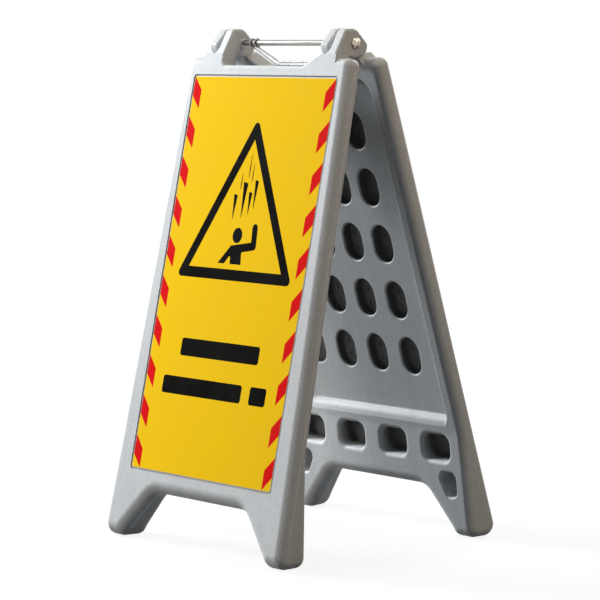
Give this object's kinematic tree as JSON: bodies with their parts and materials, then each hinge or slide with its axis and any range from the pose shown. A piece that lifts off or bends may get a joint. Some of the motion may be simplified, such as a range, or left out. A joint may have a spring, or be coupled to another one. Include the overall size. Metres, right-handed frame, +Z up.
{
  "type": "freestanding warning sign",
  "caption": "Folding A-frame floor stand of hinged twin-wall plastic panels with a carry rod and a yellow triangular warning sign on each outer face.",
  "frame": {"origin": "on the floor, midway between the four feet, straight below the middle of the hinge rod", "axes": "+Z up; +X along the hinge rod, to the right for someone facing the front sign; the front sign faces -Y"},
  "size_m": [0.5826, 0.5538, 1.0242],
  "materials": {
    "panel_plastic": "light grey blow-moulded polyethylene, fine grain",
    "sign_sheet": "white rigid sheet",
    "sign_print": "yellow printed film with red stripes and a black pictogram, semi-gloss",
    "tape": "double-sided foam tape",
    "bright_steel": "bright drawn and plated rod",
    "cap_chrome": "domed, polished",
    "bush_steel": "rolled sleeve",
    "spacer_plastic": "dark moulded sleeve",
    "wire_steel": "zinc-plated spring wire"
  },
  "bodies": {
    "front": {"front_panel": "panel_plastic", "front_sign_plate": "sign_sheet", "front_sign_film": "sign_print", "front_sign_tape": "tape", "hinge_rod": "bright_steel", "rod_cap_left": "cap_chrome", "rod_cap_right": "cap_chrome", "bush_front_inner": "bush_steel", "bush_front_outer": "bush_steel", "spacer_left": "spacer_plastic", "spacer_right": "spacer_plastic"},
    "back": {"back_panel": "panel_plastic", "back_sign_plate": "sign_sheet", "back_sign_film": "sign_print", "back_sign_tape": "tape", "bush_back_inner": "bush_steel", "bush_back_outer": "bush_steel"},
    "stay": {"wire_stay": "wire_steel"}
  },
  "joints": [
    {"name": "panel_fold", "type": "hinge", "parent": "front", "child": "back", "pos_m": [0, 0, 0.996], "axis": [-1, 0, 0], "range_deg": [0, 23.8]},
    {"name": "stay_swing", "type": "hinge", "parent": "front", "child": "stay", "pos_m": [0, 0, 0.996], "axis": [1, 0, 0], "continuous": true}
  ]
}
